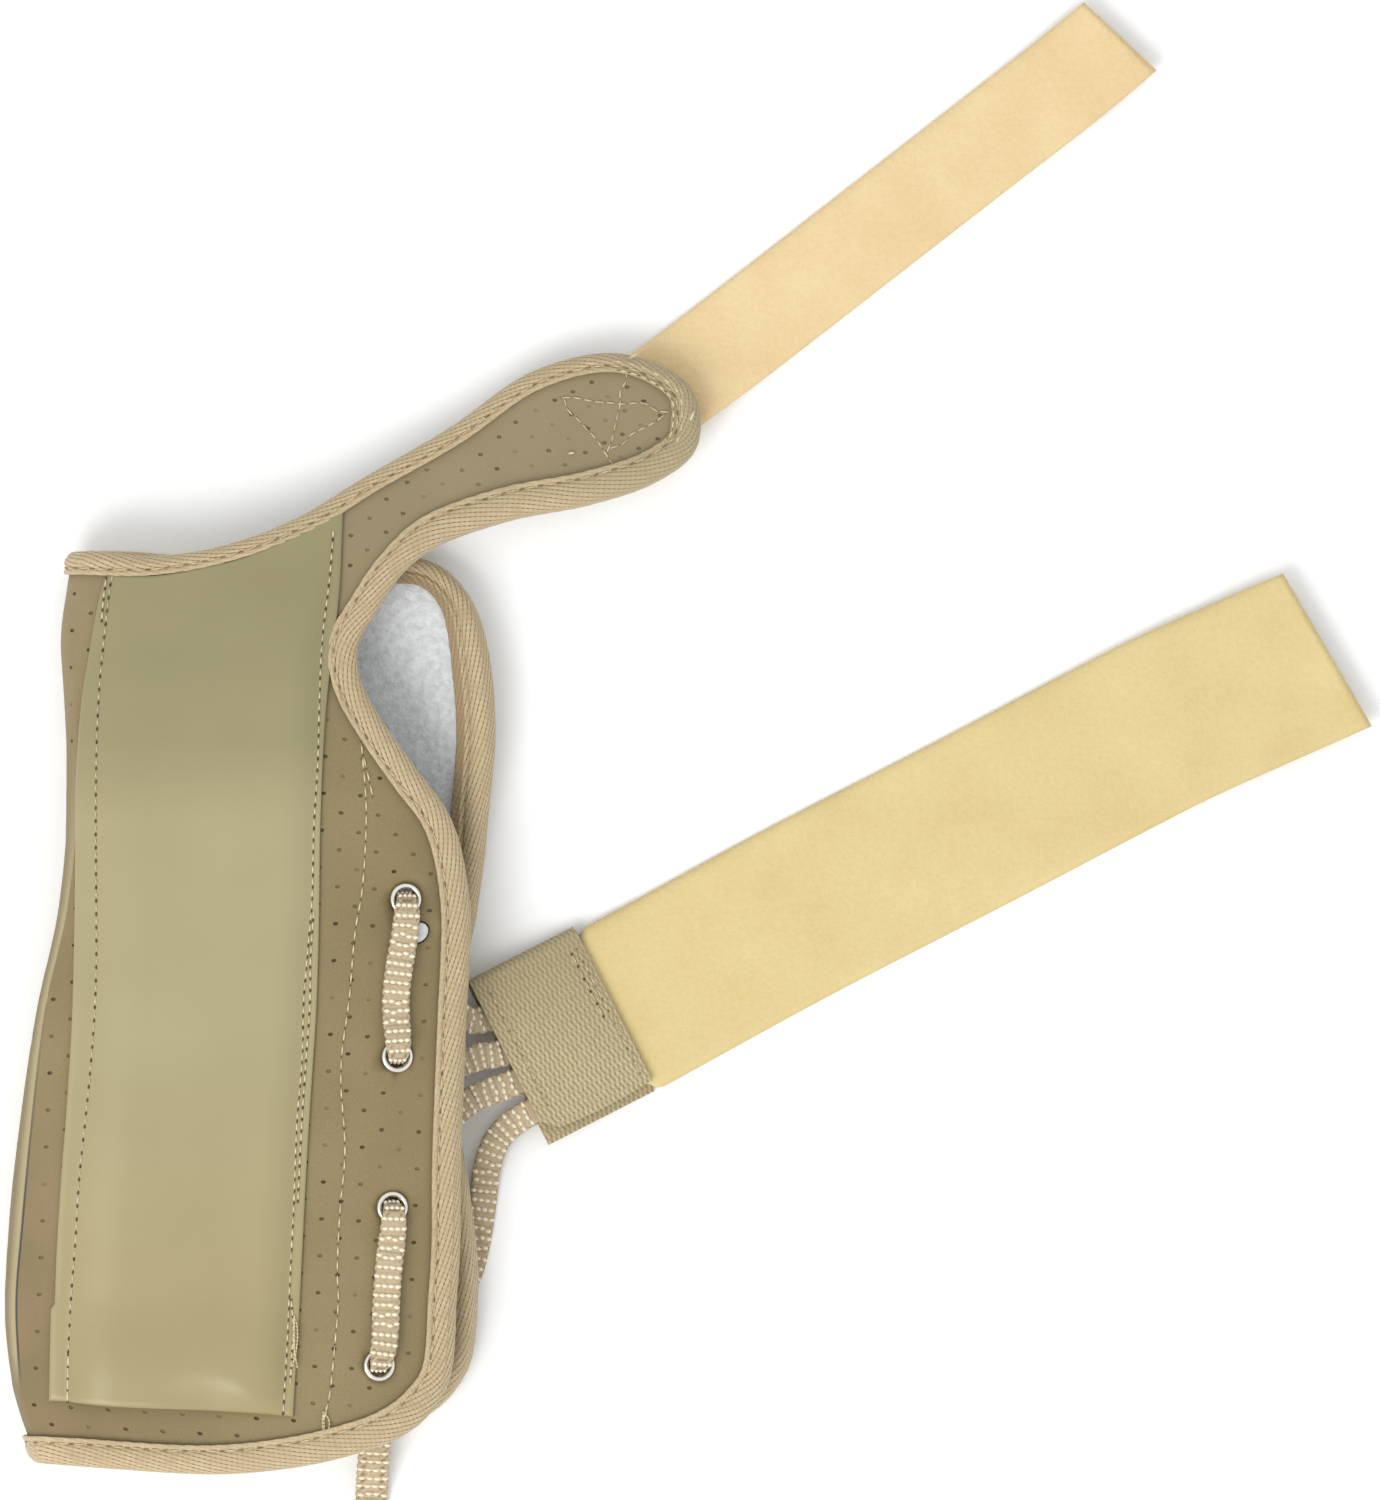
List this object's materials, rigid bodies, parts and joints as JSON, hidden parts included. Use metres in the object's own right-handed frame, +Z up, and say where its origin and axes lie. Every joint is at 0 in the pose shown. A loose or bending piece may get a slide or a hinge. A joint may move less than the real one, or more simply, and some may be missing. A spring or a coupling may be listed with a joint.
{
  "type": "wrist brace",
  "caption": "Lace-up wrist brace lying palm side up: a folded, padded sleeve with a thumb opening, a stay pocket, bound edges, eyelets with laces, and hook-and-loop straps.",
  "frame": {"origin": "on the flat outer face of the back half, which lies on the table, about midway between the forearm end and the hand end", "axes": "+X from the folded side to the laced side, +Y from the forearm end to the hand end, +Z up from the table to the palm side"},
  "size_m": [0.304, 0.3468, 0.0312],
  "materials": {
    "leatherette": "matte, perforated",
    "fleece": "brushed",
    "twill_tape": "herringbone weave",
    "vinyl": "satin",
    "nickel": "polished nickel",
    "braid": "flat braid",
    "webbing": "woven",
    "wide_loop_strap": "brushed loop pile",
    "narrow_loop_strap": "brushed loop pile"
  },
  "bodies": {
    "root": {"body_wrap": "leatherette", "lining": "fleece", "binding": "twill_tape", "stay_pocket": "vinyl", "eyelet_1": "nickel", "eyelet_2": "nickel", "eyelet_3": "nickel", "eyelet_4": "nickel", "lace_upper": "braid", "lace_lower": "braid", "lace_tail": "braid", "lace_short": "braid", "lace_tab": "webbing", "closure_strap": "wide_loop_strap", "thumb_strap": "narrow_loop_strap"}
  },
  "joints": []
}
